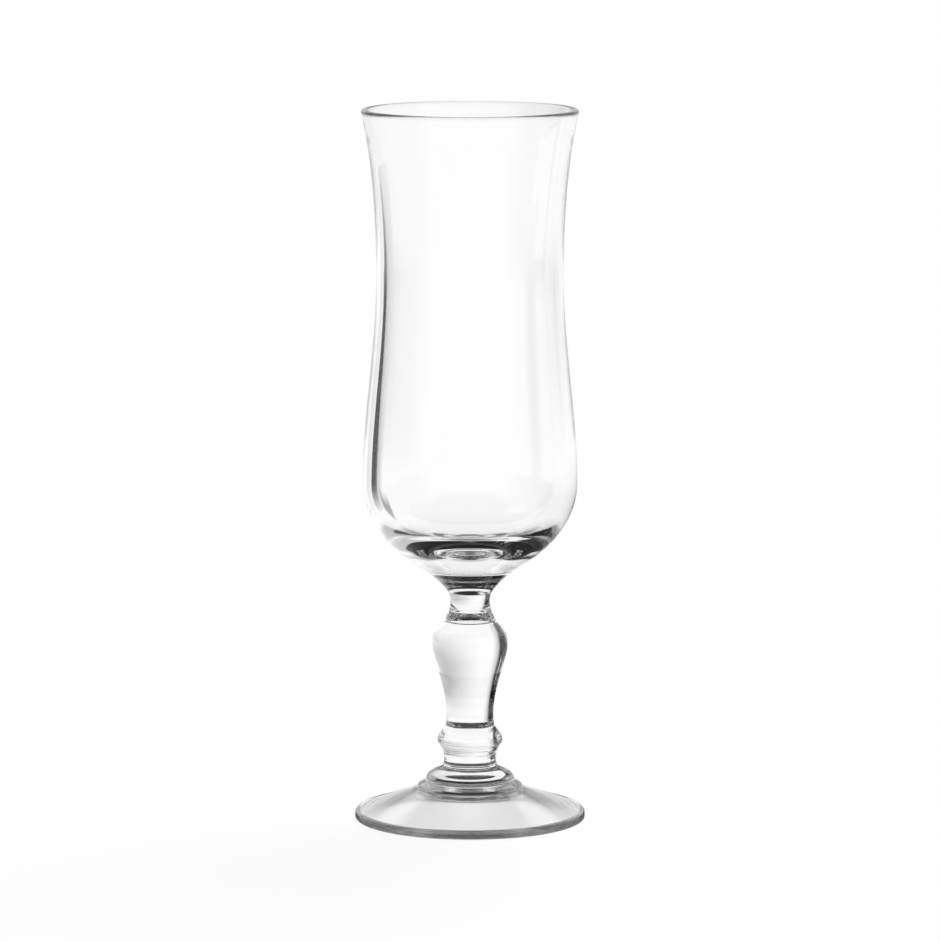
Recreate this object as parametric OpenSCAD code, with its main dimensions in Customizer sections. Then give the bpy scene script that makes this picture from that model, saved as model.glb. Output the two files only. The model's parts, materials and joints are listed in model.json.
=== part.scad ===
// Footed flute goblet in clear glass, built up from seven turned pieces that are fused end to end.
// The origin is on the table, under the middle of the foot, and the axis of the goblet is +Z.

/* [Foot] */
// Diameter of the foot
foot_d = 56.6; // [46:0.2:72]
// Height of the foot, from the table to the seat of the boss
foot_h = 7.5; // [5.5:0.1:10]
// Height of the foot's edge
foot_edge_h = 2.4; // [2:0.1:3.4]
// Radius of the edge's upper rounding
foot_edge_r = 1.2; // [0.6:0.1:1.4]
// Radius of the edge's lower rounding
foot_toe_r = 0.5; // [0.2:0.1:0.6]
// Slope of the foot's top beside its edge, in degrees
foot_edge_slope = 17; // [6:1:20]
// Slope of the foot's top beside the boss, in degrees
foot_seat_slope = 22; // [14:1:34]
// Width of the flat ring that the foot stands on, round its hollow
foot_ring_w = 1.3; // [0.8:0.1:3]
// Thickness of the foot over its hollow, at the axis
foot_wall = 1.7; // [1.2:0.1:3]

/* [Foot boss] */
// Diameter of the boss where it sits on the foot
boss_d = 26.2; // [23:0.2:32]
// Diameter of the boss above its step
boss_step_d = 22; // [18:0.2:23]
// Height of the step above the foot
boss_step_h = 1.8; // [1:0.1:3]
// Height of the boss
boss_h = 5.4; // [4.5:0.1:9]

/* [Stem collar] */
// Diameter of the collar where it sits on the boss
collar_foot_d = 13.4; // [12:0.1:17]
// Diameter of the collar at its waist
collar_d = 12.8; // [10:0.1:14]
// Height of the collar
collar_h = 3.4; // [2:0.1:6]

/* [Ring knop] */
// Diameter of the knop where it sits on the collar
knop_foot_d = 13.1; // [11:0.1:15]
// Diameter of the cove's upper edge, under the ring
knop_cove_d = 14.9; // [13:0.1:15.5]
// Height of the cove under the ring
knop_cove_h = 2.2; // [1:0.1:3]
// Largest diameter of the ring
knop_d = 15.9; // [15:0.1:22]
// Height of the ring's widest place above the cove
knop_nose_h = 1.1; // [0.6:0.1:2]
// Height of the knop
knop_h = 6.8; // [5.5:0.1:12]

/* [Baluster] */
// Diameter of the baluster where it sits on the knop
baluster_foot_d = 12.1; // [10:0.1:15]
// Diameter of the baluster at its slimmest place
baluster_slim_d = 11.65; // [9:0.05:14]
// Height of the slimmest place above the knop
baluster_slim_h = 3; // [1:0.1:5]
// Diameter of the baluster at its shoulder
baluster_d = 18.6; // [15:0.1:26]
// Height of the shoulder's fullest place above the knop
baluster_shoulder_h = 20.6; // [14:0.1:22]
// Height of the baluster
baluster_h = 26; // [24:0.1:40]

/* [Neck collar] */
// Diameter of the neck where it sits on the baluster
neck_foot_d = 12.8; // [11:0.1:14]
// Diameter of the neck at its slimmest place
neck_d = 9.7; // [7:0.05:10.5]
// Height of the slimmest place above the baluster
neck_slim_h = 5; // [3:0.1:6]
// Height of the neck
neck_h = 7; // [6.4:0.1:10]

/* [Bowl] */
// Diameter of the bowl where it sits on the neck
bowl_seam_d = 10.5; // [9:0.1:13]
// Slope of the bowl's underside beside the neck, in degrees
bowl_seam_slope = 57; // [40:1:65]
// Diameter at the middle of the bowl's conical underside
bowl_cone_d = 26.4; // [20:0.2:32]
// Height of that place above the neck
bowl_cone_h = 7.1; // [5:0.1:9]
// Slope of the conical underside, in degrees
bowl_cone_slope = 33; // [26:1:42]
// Diameter of the belly, the bowl's fullest place
belly_d = 52.6; // [46:0.1:64]
// Height of the belly above the neck
belly_h = 27.3; // [22:0.1:34]
// Diameter of the waist, the bowl's slimmest place
waist_d = 45.7; // [38:0.1:52]
// Height of the waist above the neck
waist_h = 79; // [70:0.5:92]
// Diameter of the rim
rim_d = 53; // [46:0.1:64]
// Flare of the rim, from upright, in degrees
rim_flare = 14; // [4:1:24]
// Height of the bowl
bowl_h = 118.9; // [105:0.1:150]
// Thickness of the wall at the rim
rim_wall = 1.6; // [1:0.1:2.4]
// Thickness of the wall at the waist
waist_wall = 2.5; // [1.2:0.1:3.5]
// Thickness of the wall at the belly
belly_wall = 3.4; // [2:0.1:5]
// Height of the bowl's inner floor above the neck
floor_h = 12; // [10:0.1:18]

/* [Hidden] */
$fn = 128;

// Clear glass, with the faintest grey green
glass = [0.93, 0.95, 0.945, 0.4];

// Steps along each curve of an outline, and round the lip and the foot's edge
curve_steps = 16;
round_steps = 20;

// Height of each joint above the table
boss_z = foot_h;
collar_z = boss_z + boss_h;
knop_z = collar_z + collar_h;
baluster_z = knop_z + knop_h;
neck_z = baluster_z + baluster_h;
bowl_z = neck_z + neck_h;

// Directions in which the outlines leave and meet their creases: 90 is straight up, 180 is towards the axis
up = 90;
down = 270;
inwards = 180;
boss_side = 95;
boss_tread = 150;
boss_shoulder = 92;
boss_crown = 144;
collar_base = 100;
collar_top = 75;
knop_cove_top = 70;
knop_under = 15;
knop_flank = 120;
baluster_base = 105;
baluster_crown = 139;
neck_base = 114;
neck_top = 70;

// Slope of the foot's hollow beside the ring: that of its top, so that the glass between is even
hollow_slope = atan2(foot_h - foot_edge_h, (foot_d - boss_d) / 2);

// How far a curve holds its first and its last direction, as shares of its chord
even = [0.36, 0.36];
hollow_pull = [0.57, 0.71];
round_corner = [0.45, 0.4];
flank_pull = [0.3, 0.41];
taper_pull = [0.4, 0.26];
crown_pull = [0.4, 0.3];
bowl_base_pull = [0.34, 0.37];
bowl_wall_pull = [0.33, 0.35];
bowl_rim_pull = [0.3, 0.29];
bowl_floor_pull = [0.3, 0.62];

// The unit vector at an angle
function dir(angle) = [cos(angle), sin(angle)];

// Points along a cubic curve from a to d, drawn towards b and c
function curve(a, b, c, d) = [
    for (i = [0 : curve_steps])
        let (t = i / curve_steps, s = 1 - t)
            s * s * s * a + 3 * s * s * t * b + 3 * s * t * t * c + t * t * t * d
];

// A curve that leaves its start in one direction and meets its end in another
function sweep(start, leave, end, meet, pull = even) =
    let (chord = norm(end - start))
        curve(start, start + chord * pull[0] * dir(leave), end - chord * pull[1] * dir(meet), end);

// Points round an arc
function arc(centre, r, from, to) = [
    for (i = [0 : round_steps])
        centre + r * dir(from + (to - from) * i / round_steps)
];

// An outline's points without the first
function tail(points) = [for (i = [1 : len(points) - 1]) points[i]];

// A solid turned from an outline that starts and ends on the axis, lifted to its joint
module turned(z, outline) {
    color(glass)
        translate([0, 0, z])
            rotate_extrude()
                polygon(outline);
}

// The foot: hollow underneath, a flat ring to stand on, a rounded edge and a rising top
module foot() {
    toe = arc([foot_d / 2 - foot_toe_r, foot_toe_r], foot_toe_r, -90, 0);
    edge_centre = [foot_d / 2 - foot_edge_r, foot_edge_h - foot_edge_r];
    edge = arc(edge_centre, foot_edge_r, 0, up - foot_edge_slope);
    seat = [boss_d / 2, foot_h];
    ring_inside = [foot_d / 2 - foot_toe_r - foot_ring_w, 0];
    hollow = sweep([0, foot_h - foot_wall], 0, ring_inside, -hollow_slope, hollow_pull);
    top = sweep(edge[round_steps], inwards - foot_edge_slope, seat, inwards - foot_seat_slope);
    turned(0, concat(hollow, toe, edge, tail(top), [[0, foot_h]]));
}

// The boss: two round steps, with the collar on the upper one
module foot_boss() {
    step = [boss_step_d / 2, boss_step_h];
    lower = sweep([boss_d / 2, 0], boss_side, step, boss_tread, round_corner);
    upper = sweep(step, boss_shoulder, [collar_foot_d / 2, boss_h], boss_crown, round_corner);
    turned(boss_z, concat([[0, 0]], lower, tail(upper), [[0, boss_h]]));
}

// The collar: a short waist between the boss and the ring
module stem_collar() {
    waist = [collar_d / 2, collar_h / 2];
    lower = sweep([collar_foot_d / 2, 0], collar_base, waist, up);
    upper = sweep(waist, up, [knop_foot_d / 2, collar_h], collar_top);
    turned(collar_z, concat([[0, 0]], lower, tail(upper), [[0, collar_h]]));
}

// The ring knop: a cove below, a round nose, and a long flank up to the baluster
module ring_knop() {
    cove_edge = [knop_cove_d / 2, knop_cove_h];
    nose = [knop_d / 2, knop_cove_h + knop_nose_h];
    cove = sweep([knop_foot_d / 2, 0], up, cove_edge, knop_cove_top);
    under = sweep(cove_edge, knop_under, nose, up);
    flank = sweep(nose, up, [baluster_foot_d / 2, knop_h], knop_flank, flank_pull);
    turned(knop_z, concat([[0, 0]], cove, tail(under), tail(flank), [[0, knop_h]]));
}

// The baluster: slim below, full at the shoulder, drawn in to the neck
module baluster() {
    slim = [baluster_slim_d / 2, baluster_slim_h];
    shoulder = [baluster_d / 2, baluster_shoulder_h];
    base = sweep([baluster_foot_d / 2, 0], baluster_base, slim, up);
    taper = sweep(slim, up, shoulder, up, taper_pull);
    crown = sweep(shoulder, up, [neck_foot_d / 2, baluster_h], baluster_crown, crown_pull);
    turned(baluster_z, concat([[0, 0]], base, tail(taper), tail(crown), [[0, baluster_h]]));
}

// The neck: a waisted cone that opens a little under the bowl
module neck_collar() {
    slim = [neck_d / 2, neck_slim_h];
    lower = sweep([neck_foot_d / 2, 0], neck_base, slim, up);
    upper = sweep(slim, up, [bowl_seam_d / 2, neck_h], neck_top);
    turned(neck_z, concat([[0, 0]], lower, tail(upper), [[0, neck_h]]));
}

// The bowl's outside, from the neck up to the lip
function bowl_outside(lip_start) =
    let (
        seam = [bowl_seam_d / 2, 0],
        cone = [bowl_cone_d / 2, bowl_cone_h],
        belly = [belly_d / 2, belly_h],
        waist = [waist_d / 2, waist_h]
    )
        concat(
            sweep(seam, bowl_seam_slope, cone, bowl_cone_slope),
            tail(sweep(cone, bowl_cone_slope, belly, up, bowl_base_pull)),
            tail(sweep(belly, up, waist, up, bowl_wall_pull)),
            tail(sweep(waist, up, lip_start, up - rim_flare, bowl_rim_pull))
        );

// The bowl's inside, from the lip down to the floor
function bowl_inside(lip_end) =
    let (
        waist = [waist_d / 2 - waist_wall, waist_h],
        belly = [belly_d / 2 - belly_wall, belly_h],
        floor_middle = [0, floor_h]
    )
        concat(
            sweep(lip_end, down - rim_flare, waist, down, [bowl_rim_pull[1], bowl_rim_pull[0]]),
            tail(sweep(waist, down, belly, down, [bowl_wall_pull[1], bowl_wall_pull[0]])),
            tail(sweep(belly, down, floor_middle, inwards, bowl_floor_pull))
        );

// The bowl: a solid base, a wall that thins upwards and a round lip
module bowl() {
    lip_r = rim_wall / 2;
    lip = arc([rim_d / 2 - lip_r, bowl_h - lip_r], lip_r, -rim_flare, inwards - rim_flare);
    outside = bowl_outside(lip[0]);
    inside = bowl_inside(lip[round_steps]);
    turned(bowl_z, concat([[0, 0]], outside, tail(lip), tail(inside)));
}

foot();
foot_boss();
stem_collar();
ring_knop();
baluster();
neck_collar();
bowl();
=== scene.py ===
import json
import math

import bpy
import numpy as np
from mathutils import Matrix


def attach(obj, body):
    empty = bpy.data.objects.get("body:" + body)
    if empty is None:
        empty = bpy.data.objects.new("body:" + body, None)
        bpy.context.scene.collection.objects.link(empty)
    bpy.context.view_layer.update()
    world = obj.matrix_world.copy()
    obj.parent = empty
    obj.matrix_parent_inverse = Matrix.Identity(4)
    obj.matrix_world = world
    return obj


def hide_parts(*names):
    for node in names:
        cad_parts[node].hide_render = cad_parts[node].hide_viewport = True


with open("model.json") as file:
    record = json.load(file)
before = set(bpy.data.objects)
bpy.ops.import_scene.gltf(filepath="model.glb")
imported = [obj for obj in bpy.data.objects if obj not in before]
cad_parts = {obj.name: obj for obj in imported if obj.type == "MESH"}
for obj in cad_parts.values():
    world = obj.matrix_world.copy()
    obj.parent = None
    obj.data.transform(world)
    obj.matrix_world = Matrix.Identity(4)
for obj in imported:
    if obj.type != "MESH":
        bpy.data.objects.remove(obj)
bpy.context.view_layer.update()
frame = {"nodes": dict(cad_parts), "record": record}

# Where the pieces ride, and the record's nodes that they are turned from
BODY = "root"
NODES = [part["node"] for part in frame["record"]["subparts"]]

# The outlines: the digits that a place is read to, and a length that counts as none
DIGITS = 6
TINY = 1e-6

# The least turn that makes a corner, the least that makes a crease, and the ratio of neighbouring lengths at
# which one smooth run ends and the next begins
STRAIGHT = math.radians(0.05)
CREASE = math.radians(18)
UNEVEN = 5

# The lathe: the sides round each piece, and the longest step along an outline
SIDES = 240
STEP = 0.0007

# How far the glass is drawn in where two masses meet, how far from the seam that reaches, and its points
PINCH = 0.00012
PINCH_REACH = 0.0004
PINCH_POINTS = 17

# The glass, its faint waves, and its uneven polish
GLASS_COLOUR = (0.996, 0.998, 0.997, 1)
GLASS_IOR = 1.52
WAVES_PER_METRE = 70
WAVE_DETAIL = 1
WAVE_DEPTH = 0.00001
WEAR_PER_METRE = 160
WEAR_DETAIL = 3
WEAR_SPAN = 0.35, 0.65
ROUGHNESS = 0.004, 0.03

# Where the foot and the lip are rubbed: the height at which it starts, the height at which it is full, and
# the roughness that it adds there
FOOT_RUBBED = 0.008, 0.006, 0.08
LIP_RUBBED = 0.1735, 0.1742, 0.22

# The camera, at the photo's angle: its place, its tilt below level, and its lens over the frame's longer side
CAMERA_PLACE = (0, -1.384243, 0.281626)
CAMERA_TILT = math.radians(8.02948)
CAMERA_LENS = 218.44
SENSOR = 36

# The most times that light may bounce, and the most clear surfaces that it may pass
MOST_BOUNCES = 48
MOST_CLEAR = 32

# The colour of the studio and its floor
WHITE = (1, 1, 1, 1)

# The floor, and the shade painted on it near the foot: how dark it is there to the rays that the glass
# mirrors, and where that fades
FLOOR_R = 5
FLOOR_SIDES = 96
FLOOR_DROP = 0.00004
PAINTED_FLOOR_SHADE = (0.03, 0.03, 0.03, 1)
PAINTED_SHADE_R = 0.045, 0.09

# The lamp's share of the light on the floor, its tilt from overhead, its turn and its spread
LAMP_SHARE = 0.07
LAMP_TILT = math.radians(38)
LAMP_TURN = math.radians(150)
LAMP_SPREAD = math.radians(40)

# The studio is white but for cards that only the glass sees. This is which rays see a card: those that come
# straight through the glass, those that it reflects, or both, and the most surfaces that they may have
# crossed. That is two through solid glass, and none for a ray off the outside.
ANY = 99
ALL_RAYS = {}
STRAIGHT_RAYS = {"reflected": False}
SOLID_RAYS = {"reflected": False, "crossed": 2}
REFLECTED_RAYS = {"straight": False}
OUTSIDE_RAYS = {"straight": False, "crossed": 0}

# The azimuths of cards are in degrees to the right of straight behind
CARD_STEP = 2
ALL_ROUND = {-180: 1, 180: 1}
BEHIND_LEFT = {-70: 1, -38: 1}
RIGHT_SIDE = {14: 0, 22: 0.98, 100: 0.98, 112: 0}

# Level cloths, overhead and on the floor beside the foot: height, darkness by azimuth and by distance from
# the axis, which are multiplied, and rays
CLOTHS = {
    "canopy": (0.6, ALL_ROUND, {0: 0.98, 0.73: 0.98, 0.83: 0}, ALL_RAYS),
    "low_flag": (0.0004, BEHIND_LEFT, {0.036: 0.98, 0.06: 0.98}, STRAIGHT_RAYS),
    "low_edge": (0.0006, RIGHT_SIDE, {0.04: 1, 0.115: 1}, OUTSIDE_RAYS),
}

# Upright cards, bent round the object: distance from the axis, darkness by azimuth and by height, and rays
CARDS = {
    "stem_edge": (0.115, RIGHT_SIDE, {0: 1, 0.06: 1, 0.08: 0}, OUTSIDE_RAYS),
    "right_wall": (
        0.7,
        {12: 0, 45: 0.38, 75: 0.52, 110: 0.55, 130: 0},
        {0: 0, 0.12: 1, 0.6: 1},
        ALL_RAYS,
    ),
    "left_wall": (
        0.7,
        {-130: 0, -110: 0.7, -78: 0.75, -72: 0.96, -41: 0.96, -36: 0},
        {0: 0, 0.06: 1, 0.6: 1},
        ALL_RAYS,
    ),
    "rim_card": (
        0.064,
        {-70: 0, -56: 1, -40: 1, -28: 0},
        {0.13: 0, 0.175: 0.2},
        ALL_RAYS,
    ),
    "stem_flag": (
        0.105,
        {-70: 1, -43: 0.995, -40: 0.97, -38: 0.85, -35: 0.45, -31: 0.22, -25: 0},
        {0: 1, 0.062: 1},
        SOLID_RAYS,
    ),
    "knop_flag": (
        0.06,
        {-68: 1, -43: 0.98, -37: 0.9, -33: 0.4, -28: 0.22, -22: 0},
        {0: 1, 0.021: 1},
        SOLID_RAYS,
    ),
    "right_card": (
        0.105,
        {-10: 0, 0: 0.22, 8: 0.46, 17: 0.73, 23: 0.85, 32: 1, 80: 1},
        {0: 0.05, 0.02: 0.2, 0.038: 0.34, 0.05: 0.48, 0.07: 0.48, 0.09: 0.15, 0.17: 0.15, 0.2: 0},
        SOLID_RAYS,
    ),
    "bowl_flag": (
        0.06,
        {-80: 1, -57: 1},
        {0.056: 0.1, 0.078: 0.98, 0.125: 0.98, 0.15: 0.4},
        REFLECTED_RAYS,
    ),
    "boss_flag": (0.033, {-20: 0.97, 20: 0.97}, {0.002: 1, 0.018: 1}, REFLECTED_RAYS),
    "boss_ring": (
        0.0335,
        ALL_ROUND,
        {0.002: 0, 0.008: 0.15, 0.011: 0.6, 0.018: 0.6},
        REFLECTED_RAYS,
    ),
}

# Upright cards that stand edge on to the axis: azimuth, darkness by distance and by height, and rays
FINS = {
    "wall_fin": (
        -45,
        {0.037: 0, 0.041: 0.97, 0.06: 0.97, 0.085: 0},
        {0.052: 0.5, 0.057: 1, 0.066: 1, 0.075: 0},
        STRAIGHT_RAYS,
    ),
}


# Outlines


def seam_chains(mesh):
    """The mesh's edges in the half plane y = 0, x > 0, as chains of (radius, height)."""
    place = {}
    for v in mesh.vertices:
        if abs(v.co.y) < TINY and v.co.x > -TINY:
            place[v.index] = (round(max(v.co.x, 0), DIGITS), round(v.co.z, DIGITS))
    near = {}
    for e in mesh.edges:
        a, b = (place.get(i) for i in e.vertices)
        if a and b and a != b:
            near.setdefault(a, set()).add(b)
            near.setdefault(b, set()).add(a)
    chains = []
    while near:
        ends = [p for p in near if len(near[p]) == 1] or list(near)
        chain = [min(ends, key=lambda p: p[1])]
        while chain[-1] in near:
            onward = [p for p in near.pop(chain[-1]) if p in near and p not in chain]
            if onward:
                chain.append(onward[0])
        chains.append(chain)
    return chains


def join_chains(chains):
    """One line through the chains, across the flat faces that leave no edge on the seam."""
    line = chains.pop(0)
    while chains:
        _, k, flip = min(
            (math.dist(line[-1], chain[end]), k, end)
            for k, chain in enumerate(chains)
            for end in (0, -1)
        )
        chain = chains.pop(k)
        line += chain[::-1] if flip else chain
    return np.array(line)


def turns(line):
    """How far the line turns at each of its inner points."""
    step = np.diff(line, axis=0)
    heading = np.unwrap(np.arctan2(step[:, 1], step[:, 0]))
    return np.diff(heading)


def lengths_of(line):
    """The length of each of the line's segments."""
    return np.linalg.norm(np.diff(line, axis=0), axis=1)


def travel(line):
    """How far along the line each of its points lies."""
    return np.concatenate([[0], np.cumsum(lengths_of(line))])


def outline_of(node):
    """The corners of the node's outline, from its lower end up, as (radius, height)."""
    line = join_chains(seam_chains(frame["nodes"][node].data))
    kept = np.concatenate([[True], np.abs(turns(line)) > STRAIGHT, [True]])
    return line[kept]


def smooth_run(points):
    """A cubic curve through the points, sampled at least once per STEP."""
    if len(points) < 3:
        return points
    h = lengths_of(points)
    n = len(points)
    system = np.zeros((n, n))
    right = np.zeros((n, 2))
    slope = np.diff(points, axis=0) / h[:, None]
    for i in range(1, n - 1):
        system[i, i - 1:i + 2] = h[i - 1], 2 * (h[i - 1] + h[i]), h[i]
        right[i] = 6 * (slope[i] - slope[i - 1])
    system[0, :2] = 1, -1
    system[-1, -2:] = 1, -1
    bend = np.linalg.solve(system, right)
    samples = []
    for i in range(n - 1):
        count = max(2, math.ceil(h[i] / STEP))
        b = np.arange(count)[:, None] / count
        a = 1 - b
        curve = a * points[i] + b * points[i + 1]
        curve += ((a**3 - a) * bend[i] + (b**3 - b) * bend[i + 1]) * h[i] ** 2 / 6
        samples.append(curve)
    return np.concatenate([*samples, points[-1:]])


def pinched(line, sharp, seams):
    """The line drawn in at its seams, with points close enough together to round the hollow."""
    along = travel(line)
    near = np.linspace(-PINCH_REACH, PINCH_REACH, PINCH_POINTS)
    marks = np.concatenate([along, *(along[k] + near for k in seams)])
    marks = np.unique(np.clip(marks, 0, along[-1]))
    radius, height = (np.interp(marks, along, line[:, i]) for i in (0, 1))
    for k in seams:
        share = np.clip(1 - np.abs(marks - along[k]) / PINCH_REACH, 0, 1)
        radius -= PINCH * share**2
    return np.stack([radius, height], axis=1), np.isin(marks, along[sharp])


def fine_outline(node):
    """The node's outline as a fine line, and which of its points are creases."""
    corners = outline_of(node)
    lengths = lengths_of(corners)
    bends = turns(corners)
    creases = np.abs(bends) > CREASE
    uneven = np.abs(np.log(lengths[1:] / lengths[:-1])) > math.log(UNEVEN)
    ends = np.concatenate([[False], creases | uneven, [True]])
    creases = np.concatenate([[False], creases, [True]])
    hollow = np.concatenate([[corners[0, 0] > TINY], bends < -CREASE, [corners[-1, 0] > TINY]])
    line = [corners[:1]]
    sharp = [False]
    seams = [0] if hollow[0] else []
    start = 0
    for end in np.where(ends)[0]:
        run = smooth_run(corners[start:end + 1])[1:]
        line.append(run)
        sharp += [False] * (len(run) - 1) + [creases[end]]
        if hollow[end]:
            seams.append(len(sharp) - 1)
        start = end
    return pinched(np.concatenate(line), np.array(sharp), seams)


# Materials


def new_node(nodes, kind, inputs=(), **settings):
    """A shader node of the kind, with values in its inputs and its settings made."""
    node = nodes.new("ShaderNode" + kind)
    for socket, value in dict(inputs).items():
        node.inputs[socket].default_value = value
    for name, value in settings.items():
        setattr(node, name, value)
    return node


def map_range(nodes, taken, given=(0, 1)):
    """A node that maps one span of values to another, and holds at the ends."""
    spans = {"From Min": taken[0], "From Max": taken[1], "To Min": given[0], "To Max": given[1]}
    return new_node(nodes, "MapRange", spans)


def bare_material(name):
    """A material that has no shader yet, with its nodes and links."""
    material = bpy.data.materials.new(name)
    material.use_nodes = True
    nodes = material.node_tree.nodes
    nodes.remove(nodes["Principled BSDF"])
    return material, nodes, material.node_tree.links


def glass_material():
    """Clear fire-polished glass: faintly wavy, unevenly smooth, and rubbed at the foot and the lip."""
    material = bpy.data.materials.new("clear_glass")
    material.use_nodes = True
    nodes, links = material.node_tree.nodes, material.node_tree.links
    shader = nodes["Principled BSDF"]
    shader.inputs["Base Color"].default_value = GLASS_COLOUR
    shader.inputs["IOR"].default_value = GLASS_IOR
    shader.inputs["Transmission Weight"].default_value = 1
    place = new_node(nodes, "TexCoord")
    height = new_node(nodes, "SeparateXYZ")
    waves = new_node(nodes, "TexNoise", {"Scale": WAVES_PER_METRE, "Detail": WAVE_DETAIL})
    bump = new_node(nodes, "Bump", {"Distance": WAVE_DEPTH, "Strength": 1})
    wear = new_node(nodes, "TexNoise", {"Scale": WEAR_PER_METRE, "Detail": WEAR_DETAIL})
    polish = map_range(nodes, WEAR_SPAN, ROUGHNESS)
    for placed in (height, waves, wear):
        links.new(place.outputs["Object"], placed.inputs["Vector"])
    links.new(waves.outputs["Fac"], bump.inputs["Height"])
    links.new(bump.outputs["Normal"], shader.inputs["Normal"])
    links.new(wear.outputs["Fac"], polish.inputs["Value"])
    rough = polish.outputs[0]
    for start, full, most in (FOOT_RUBBED, LIP_RUBBED):
        rubbed = map_range(nodes, (start, full), (0, most))
        total = new_node(nodes, "Math", operation="ADD")
        links.new(height.outputs["Z"], rubbed.inputs["Value"])
        links.new(rough, total.inputs[0])
        links.new(rubbed.outputs[0], total.inputs[1])
        rough = total.outputs[0]
    links.new(rough, shader.inputs["Roughness"])
    return material


def joint_material():
    """Fused glass has no surface where two pieces meet, so light passes straight on."""
    material, nodes, links = bare_material("fused_joint")
    clear = new_node(nodes, "BsdfTransparent")
    links.new(clear.outputs[0], nodes["Material Output"].inputs["Surface"])
    return material


def floor_material():
    """White to the eye and through the glass, with shade painted dark round the foot where the glass mirrors
    it.
    """
    material, nodes, links = bare_material("floor")
    white = new_node(nodes, "BsdfDiffuse", {"Color": WHITE})
    # Painted shade on the floor round the foot, seen only by rays that the glass mirrors
    dark = new_node(nodes, "BsdfDiffuse", {"Color": PAINTED_FLOOR_SHADE})
    place = new_node(nodes, "NewGeometry")
    radius = new_node(nodes, "VectorMath", operation="LENGTH")
    near = map_range(nodes, PAINTED_SHADE_R[::-1])
    path = new_node(nodes, "LightPath")
    mirrored = new_node(nodes, "Math", operation="MULTIPLY", use_clamp=True)
    mix = new_node(nodes, "MixShader")
    links.new(place.outputs["Position"], radius.inputs[0])
    links.new(radius.outputs["Value"], near.inputs["Value"])
    links.new(near.outputs[0], mirrored.inputs[0])
    links.new(path.outputs["Glossy Depth"], mirrored.inputs[1])
    links.new(mirrored.outputs[0], mix.inputs["Fac"])
    links.new(white.outputs[0], mix.inputs[1])
    links.new(dark.outputs[0], mix.inputs[2])
    links.new(mix.outputs[0], nodes["Material Output"].inputs["Surface"])
    return material


def flag_material(straight=True, reflected=True, crossed=ANY):
    """Shows the glass the shade that its mesh holds, and is clear to the light that reaches the floor.

    It can also be clear to rays straight through the glass, to rays that the glass reflects, or to rays that
    have crossed more than so many surfaces.
    """
    material, nodes, links = bare_material("flag")
    material.cycles.emission_sampling = "NONE"
    shade = new_node(nodes, "Attribute", attribute_name="shade")
    glow = new_node(nodes, "Emission")
    clear = new_node(nodes, "BsdfTransparent")
    path = new_node(nodes, "LightPath")
    hidden = map_range(nodes, (0, 1), (not straight, not reflected))
    beyond = map_range(nodes, (crossed, crossed + 1))
    unlit = new_node(nodes, "Math", operation="ADD")
    either = new_node(nodes, "Math", operation="ADD", use_clamp=True)
    mix = new_node(nodes, "MixShader")
    links.new(shade.outputs["Color"], glow.inputs["Color"])
    links.new(path.outputs["Glossy Depth"], hidden.inputs["Value"])
    links.new(path.outputs["Transmission Depth"], beyond.inputs["Value"])
    links.new(path.outputs["Diffuse Depth"], unlit.inputs[0])
    links.new(beyond.outputs[0], unlit.inputs[1])
    links.new(unlit.outputs[0], either.inputs[0])
    links.new(hidden.outputs[0], either.inputs[1])
    links.new(either.outputs[0], mix.inputs["Fac"])
    links.new(glow.outputs[0], mix.inputs[1])
    links.new(clear.outputs[0], mix.inputs[2])
    links.new(mix.outputs[0], nodes["Material Output"].inputs["Surface"])
    return material


# Pieces


def lathe(name, line, sharp, materials):
    """A closed solid turned from the line about the Z axis, whose flat ends are fused joints."""
    around = np.arange(SIDES) * 2 * math.pi / SIDES
    rings, verts, ring_of = [], [], []
    for k, (r, z) in enumerate(line):
        start = len(verts)
        if r < TINY:
            verts.append((0, 0, z))
            rings.append([start] * SIDES)
            ring_of.append(k)
        else:
            verts += [(r * math.cos(a), r * math.sin(a), z) for a in around]
            rings.append(list(range(start, start + SIDES)))
            ring_of += [k] * SIDES
    faces = []
    for low, high in zip(rings, rings[1:]):
        for j in range(SIDES):
            i = (j + 1) % SIDES
            corners = [low[j], low[i], high[i], high[j]]
            faces.append(list(dict.fromkeys(corners)))
    ends = []
    for ring in (rings[0], rings[-1]):
        if ring[0] != ring[1]:
            ends.append(len(faces))
            faces.append(ring[::-1] if ring is rings[0] else ring)
    mesh = bpy.data.meshes.new(name)
    mesh.from_pydata(verts, [], faces)
    for material in materials:
        mesh.materials.append(material)
    mesh.shade_smooth()
    for k in ends:
        mesh.polygons[k].material_index = 1
        mesh.polygons[k].use_smooth = False
    sharp = sharp.copy()
    sharp[[0, -1]] = True
    pairs = np.array([e.vertices[:] for e in mesh.edges])
    ring_of = np.array(ring_of)
    along = ring_of[pairs[:, 0]] == ring_of[pairs[:, 1]]
    marks = mesh.attributes.new("sharp_edge", "BOOLEAN", "EDGE")
    marks.data.foreach_set("value", along & sharp[ring_of[pairs[:, 0]]])
    piece = bpy.data.objects.new(name, mesh)
    bpy.context.scene.collection.objects.link(piece)
    return piece


def build_pieces():
    materials = [glass_material(), joint_material()]
    for node in NODES:
        piece = lathe("glass_" + node, *fine_outline(node), materials)
        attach(piece, BODY)
        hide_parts(node)
        piece.visible_diffuse = False


# Stage


def staged(name, verts, faces, material):
    """A mesh that belongs to the stage."""
    mesh = bpy.data.meshes.new(name)
    mesh.from_pydata(verts, [], faces)
    mesh.materials.append(material)
    thing = bpy.data.objects.new(name, mesh)
    bpy.context.scene.collection.objects.link(thing)
    return thing


def add_floor():
    rim = [
        (FLOOR_R * math.cos(a), FLOOR_R * math.sin(a), -FLOOR_DROP)
        for a in (2 * math.pi * k / FLOOR_SIDES for k in range(FLOOR_SIDES))
    ]
    staged("floor", rim, [list(range(FLOOR_SIDES))], floor_material())


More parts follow.
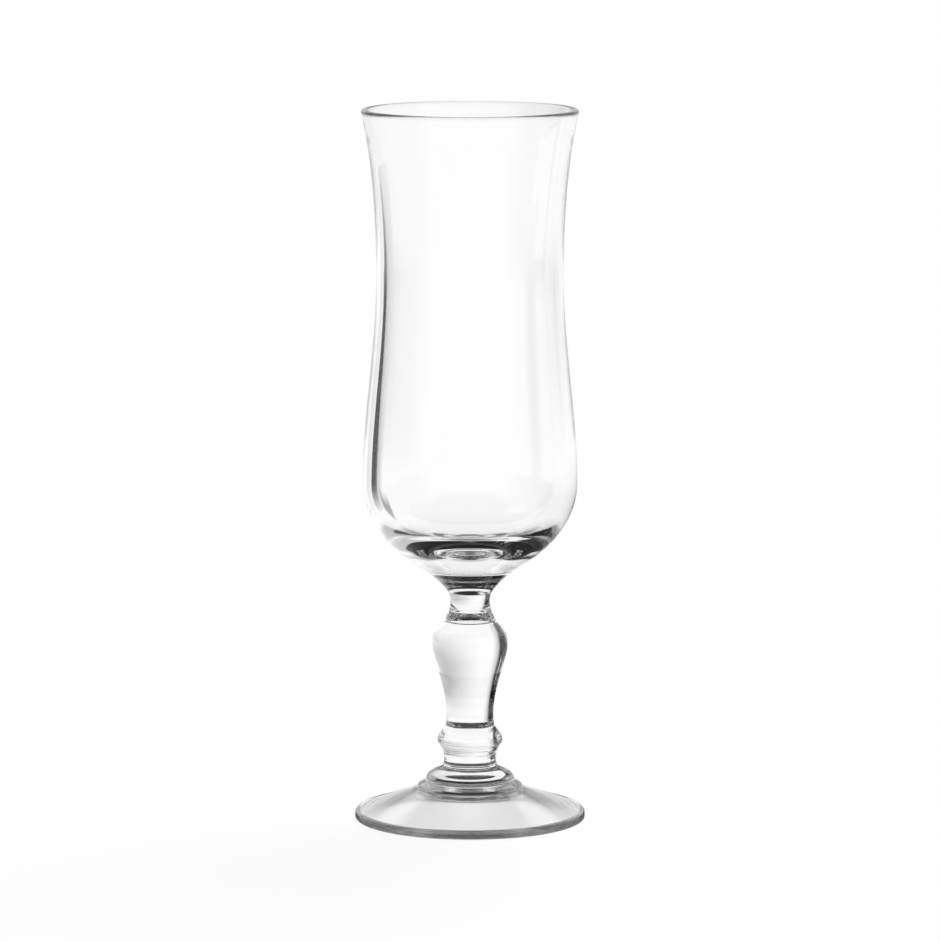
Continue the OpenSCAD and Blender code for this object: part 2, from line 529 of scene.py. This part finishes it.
def add_flag(name, rows, darkness, rays):
    """A card through rows of points, seen only by the glass, in its reflections and through its curves."""
    across = len(rows[0])
    verts = [p for row in rows for p in row]
    faces = []
    for k in range(len(rows) - 1):
        for j in range(across - 1):
            i = k * across + j
            faces.append([i, i + across, i + across + 1, i + 1])
    flag = staged(name, verts, faces, flag_material(**rays))
    marks = flag.data.attributes.new("shade", "FLOAT", "POINT")
    marks.data.foreach_set("value", np.ravel(1 - darkness))
    flag.visible_camera = False
    flag.visible_diffuse = False
    flag.visible_shadow = False


def round_the_object(distance, azimuth, height):
    """A point at an azimuth in degrees from straight behind the object, turning to the right."""
    a = math.radians(azimuth)
    return distance * math.sin(a), distance * math.cos(a), height


def darkened(by_azimuth, by_other):
    """The azimuths of a card's rows, and how dark each row is at each step of the other measure."""
    azimuths = np.arange(min(by_azimuth), max(by_azimuth) + 1, CARD_STEP)
    across = np.interp(azimuths, list(by_azimuth), list(by_azimuth.values()))
    return azimuths, np.outer(across, list(by_other.values()))


def add_cloth(name, height, by_azimuth, by_distance, rays):
    """A level cloth over or under the object."""
    azimuths, darkness = darkened(by_azimuth, by_distance)
    rows = [[round_the_object(r, a, height) for r in by_distance] for a in azimuths]
    add_flag(name, rows, darkness, rays)


def add_card(name, distance, by_azimuth, by_height, rays):
    """An upright card bent round the object."""
    azimuths, darkness = darkened(by_azimuth, by_height)
    rows = [[round_the_object(distance, a, z) for z in by_height] for a in azimuths]
    add_flag(name, rows, darkness, rays)


def add_fin(name, azimuth, by_distance, by_height, rays):
    """An upright card that stands edge on to the object's axis."""
    rows = [[round_the_object(r, azimuth, z) for z in by_height] for r in by_distance]
    add_flag(name, rows, np.outer(list(by_distance.values()), list(by_height.values())), rays)


def add_cards():
    for name, cloth in CLOTHS.items():
        add_cloth(name, *cloth)
    for name, card in CARDS.items():
        add_card(name, *card)
    for name, fin in FINS.items():
        add_fin(name, *fin)


def add_world():
    """Even white for the eye and the glass, a little less for the floor, which the lamp makes up."""
    world = bpy.data.worlds.new("studio")
    bpy.context.scene.world = world
    world.use_nodes = True
    nodes, links = world.node_tree.nodes, world.node_tree.links
    background = nodes["Background"]
    background.inputs["Color"].default_value = WHITE
    path = new_node(nodes, "LightPath")
    level = map_range(nodes, (0, 1), (1, 1 - LAMP_SHARE))
    links.new(path.outputs["Is Diffuse Ray"], level.inputs["Value"])
    links.new(level.outputs[0], background.inputs["Strength"])


def add_lamp():
    data = bpy.data.lights.new("lamp", "SUN")
    data.energy = LAMP_SHARE * math.pi / math.cos(LAMP_TILT)
    data.angle = LAMP_SPREAD
    lamp = bpy.data.objects.new("lamp", data)
    lamp.rotation_euler = (LAMP_TILT, 0, LAMP_TURN)
    lamp.visible_glossy = False
    lamp.visible_transmission = False
    bpy.context.scene.collection.objects.link(lamp)


def add_camera():
    data = bpy.data.cameras.new("camera")
    data.lens = CAMERA_LENS
    data.sensor_width = SENSOR
    camera = bpy.data.objects.new("camera", data)
    camera.location = CAMERA_PLACE
    camera.rotation_euler = (math.pi / 2 - CAMERA_TILT, 0, 0)
    bpy.context.scene.collection.objects.link(camera)
    bpy.context.scene.camera = camera


def set_up_scene():
    """Plain colours, and enough bounces for light to find its way through the glass."""
    scene = bpy.context.scene
    scene.view_settings.view_transform = "Standard"
    scene.cycles.max_bounces = MOST_BOUNCES
    scene.cycles.glossy_bounces = MOST_BOUNCES
    scene.cycles.transmission_bounces = MOST_BOUNCES
    scene.cycles.transparent_max_bounces = MOST_CLEAR


set_up_scene()
add_camera()
build_pieces()
add_world()
add_lamp()
add_floor()
add_cards()
